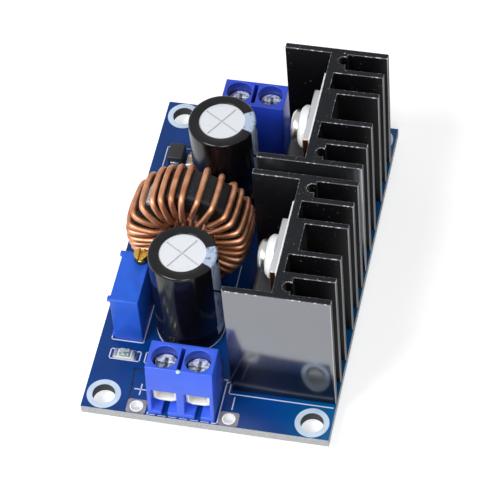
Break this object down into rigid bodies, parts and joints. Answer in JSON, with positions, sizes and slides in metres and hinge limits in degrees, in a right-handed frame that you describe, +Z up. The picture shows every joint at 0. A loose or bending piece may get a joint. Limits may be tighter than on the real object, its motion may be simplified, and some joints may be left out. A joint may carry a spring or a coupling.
{
  "type": "buck converter module",
  "caption": "Adjustable step-down converter board with finned heatsinks, upright toroid inductor, capacitors, multi-turn trimmer and screw terminals.",
  "frame": {"origin": "centre of the mounting-hole pattern on the board's underside", "axes": "+Z up through the parts, +Y along the board to the input terminal, +X to the heatsink side"},
  "size_m": [0.038, 0.061, 0.0284],
  "materials": {
    "solder_mask": "glossy blue lacquer on glass-fibre board",
    "black_aluminium": "satin black anodised extrusion",
    "bright_plating": "bright nickel plating",
    "black_epoxy": "moulded epoxy",
    "white_pad": "smooth silicone sheet",
    "white_nylon": "moulded nylon",
    "zinc_screw": "bright zinc plating",
    "core_coating": "epoxy-coated metal powder",
    "enamelled_copper": "glossy enamelled copper wire",
    "can_aluminium": "satin drawn aluminium",
    "black_sleeve": "shrunk film",
    "black_rubber": "moulded rubber",
    "blue_moulding": "moulded flame-retardant plastic",
    "trimmer_blue": "moulded plastic",
    "grey_plastic": "moulded plastic",
    "ceramic": "fired ceramic",
    "brass": "turned brass",
    "clear_lens": "clear resin",
    "chip_black": "glazed thick film",
    "chip_tan": "fired ceramic",
    "tinned_metal": "tinned metal"
  },
  "bodies": {
    "module": {"circuit_board": "solder_mask", "control_capacitor": "chip_tan", "feedback_resistor": "chip_black", "indicator_led_base": "ceramic", "indicator_led_lens": "clear_lens", "inductor_winding": "enamelled_copper", "input_capacitor_can": "can_aluminium", "input_capacitor_leads": "tinned_metal", "input_capacitor_seal": "black_rubber", "input_capacitor_sleeve": "black_sleeve", "input_chip_capacitor": "chip_tan", "input_diode_body": "black_epoxy", "input_diode_leads": "tinned_metal", "input_heatsink": "black_aluminium", "input_heatsink_pins": "tinned_metal", "input_terminal_contacts": "bright_plating", "input_terminal_housing": "blue_moulding", "led_resistor": "chip_black", "output_capacitor_can": "can_aluminium", "output_capacitor_leads": "tinned_metal", "output_capacitor_seal": "black_rubber", "output_capacitor_sleeve": "black_sleeve", "output_heatsink": "black_aluminium", "output_heatsink_pins": "tinned_metal", "output_terminal_contacts": "bright_plating", "output_terminal_housing": "blue_moulding", "rectifier_case": "black_epoxy", "rectifier_insulating_bush": "white_nylon", "rectifier_insulating_pad": "white_pad", "rectifier_leads": "tinned_metal", "rectifier_mounting_screw": "zinc_screw", "rectifier_tab": "bright_plating", "regulator_case": "black_epoxy", "regulator_insulating_bush": "white_nylon", "regulator_insulating_pad": "white_pad", "regulator_leads": "tinned_metal", "regulator_mounting_screw": "zinc_screw", "regulator_tab": "bright_plating", "solder_joints": "tinned_metal", "toroid_core": "core_coating", "trimmer_base": "grey_plastic", "trimmer_case": "trimmer_blue", "trimmer_element": "ceramic", "trimmer_pins": "tinned_metal", "trimmer_seal_ring": "black_rubber"},
    "output_left_clamp_screw": {"output_left_clamp_screw": "zinc_screw"},
    "output_left_clamp_cage": {"output_left_clamp_cage": "bright_plating"},
    "output_right_clamp_screw": {"output_right_clamp_screw": "zinc_screw"},
    "output_right_clamp_cage": {"output_right_clamp_cage": "bright_plating"},
    "input_left_clamp_screw": {"input_left_clamp_screw": "zinc_screw"},
    "input_left_clamp_cage": {"input_left_clamp_cage": "bright_plating"},
    "input_right_clamp_screw": {"input_right_clamp_screw": "zinc_screw"},
    "input_right_clamp_cage": {"input_right_clamp_cage": "bright_plating"},
    "trimmer_adjuster": {"trimmer_adjuster_screw": "brass"},
    "trimmer_carriage": {"trimmer_carriage": "grey_plastic"}
  },
  "joints": [
    {"name": "output_left_screw_turn", "type": "hinge", "parent": "module", "child": "output_left_clamp_screw", "pos_m": [-0.00604, -0.02635, 0.008], "axis": [0, 0, 1], "range_deg": [-720, 576]},
    {"name": "output_left_cage_travel", "type": "slide", "parent": "module", "child": "output_left_clamp_cage", "axis": [0, 0, 1], "range_m": [-0.0008, 0.001]},
    {"name": "output_right_screw_turn", "type": "hinge", "parent": "module", "child": "output_right_clamp_screw", "pos_m": [-0.00096, -0.02635, 0.008], "axis": [0, 0, 1], "range_deg": [-720, 576]},
    {"name": "output_right_cage_travel", "type": "slide", "parent": "module", "child": "output_right_clamp_cage", "axis": [0, 0, 1], "range_m": [-0.0008, 0.001]},
    {"name": "input_left_screw_turn", "type": "hinge", "parent": "module", "child": "input_left_clamp_screw", "pos_m": [-0.00574, 0.026, 0.008], "axis": [0, 0, 1], "range_deg": [-720, 576]},
    {"name": "input_left_cage_travel", "type": "slide", "parent": "module", "child": "input_left_clamp_cage", "axis": [0, 0, 1], "range_m": [-0.0008, 0.001]},
    {"name": "input_right_screw_turn", "type": "hinge", "parent": "module", "child": "input_right_clamp_screw", "pos_m": [-0.00066, 0.026, 0.008], "axis": [0, 0, 1], "range_deg": [-720, 576]},
    {"name": "input_right_cage_travel", "type": "slide", "parent": "module", "child": "input_right_clamp_cage", "axis": [0, 0, 1], "range_m": [-0.0008, 0.001]},
    {"name": "trimmer_screw_turn", "type": "hinge", "parent": "module", "child": "trimmer_adjuster", "pos_m": [-0.0135, -0.00931, 0.008], "axis": [0, 0, 1], "range_deg": [-4500, 4500]},
    {"name": "trimmer_carriage_travel", "type": "slide", "parent": "module", "child": "trimmer_carriage", "axis": [0, 0, 1], "range_m": [-0.003, 0.003]}
  ],
  "couplings": [
    {"joint": "output_left_screw_turn", "follows": "output_left_cage_travel", "rad_per_m": -12566},
    {"joint": "output_right_screw_turn", "follows": "output_right_cage_travel", "rad_per_m": -12566},
    {"joint": "input_left_screw_turn", "follows": "input_left_cage_travel", "rad_per_m": -12566},
    {"joint": "input_right_screw_turn", "follows": "input_right_cage_travel", "rad_per_m": -12566},
    {"joint": "trimmer_screw_turn", "follows": "trimmer_carriage_travel", "rad_per_m": -26180}
  ]
}
